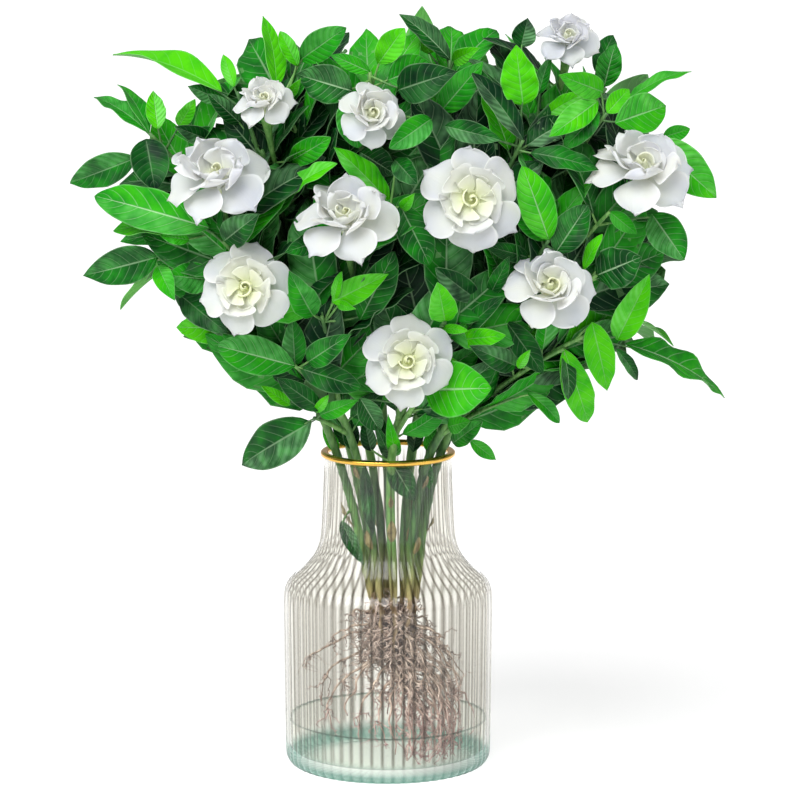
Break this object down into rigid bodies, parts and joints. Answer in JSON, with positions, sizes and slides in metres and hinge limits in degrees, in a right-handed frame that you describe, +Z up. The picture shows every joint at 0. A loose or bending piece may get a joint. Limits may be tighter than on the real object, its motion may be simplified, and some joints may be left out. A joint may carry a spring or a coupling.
{
  "type": "potted gardenia",
  "caption": "Double-flowered gardenia grown in water: leafy green stems with white blooms and bare roots in a fluted clear glass bottle vase with a gold rim.",
  "frame": {"origin": "centre of the vase's flat standing face", "axes": "+Z up through the neck, -Y towards the viewer of the picture, +X to the viewer's right"},
  "size_m": [0.4667, 0.3339, 0.5461],
  "materials": {
    "glass": "clear ribbed glass, faintly green at the thick floor",
    "gold": "polished yellow gold plating",
    "water": "clear still water",
    "root": "damp taupe-brown bare roots",
    "leaf": "glossy leathery green leaves on smooth green stems",
    "petal": "soft waxy white petals, pale yellow-green in the middle"
  },
  "bodies": {
    "root": {"glass_vase": "glass", "gold_rim": "gold", "water": "water", "root_mass": "root", "leafy_stem_a": "leaf", "leafy_stem_b": "leaf", "leafy_stem_c": "leaf", "leafy_stem_d": "leaf", "leafy_stem_e": "leaf", "leafy_stem_f": "leaf", "leafy_stem_g": "leaf", "leafy_stem_h": "leaf", "leafy_stem_i": "leaf", "leafy_stem_j": "leaf", "leafy_stem_k": "leaf", "bloom_01": "petal", "bloom_02": "petal", "bloom_03": "petal", "bloom_04": "petal", "bloom_05": "petal", "bloom_06": "petal", "bloom_07": "petal", "bloom_08": "petal", "bloom_09": "petal", "bloom_10": "petal", "bloom_11": "petal", "bloom_12": "petal", "bloom_13": "petal"}
  },
  "joints": []
}
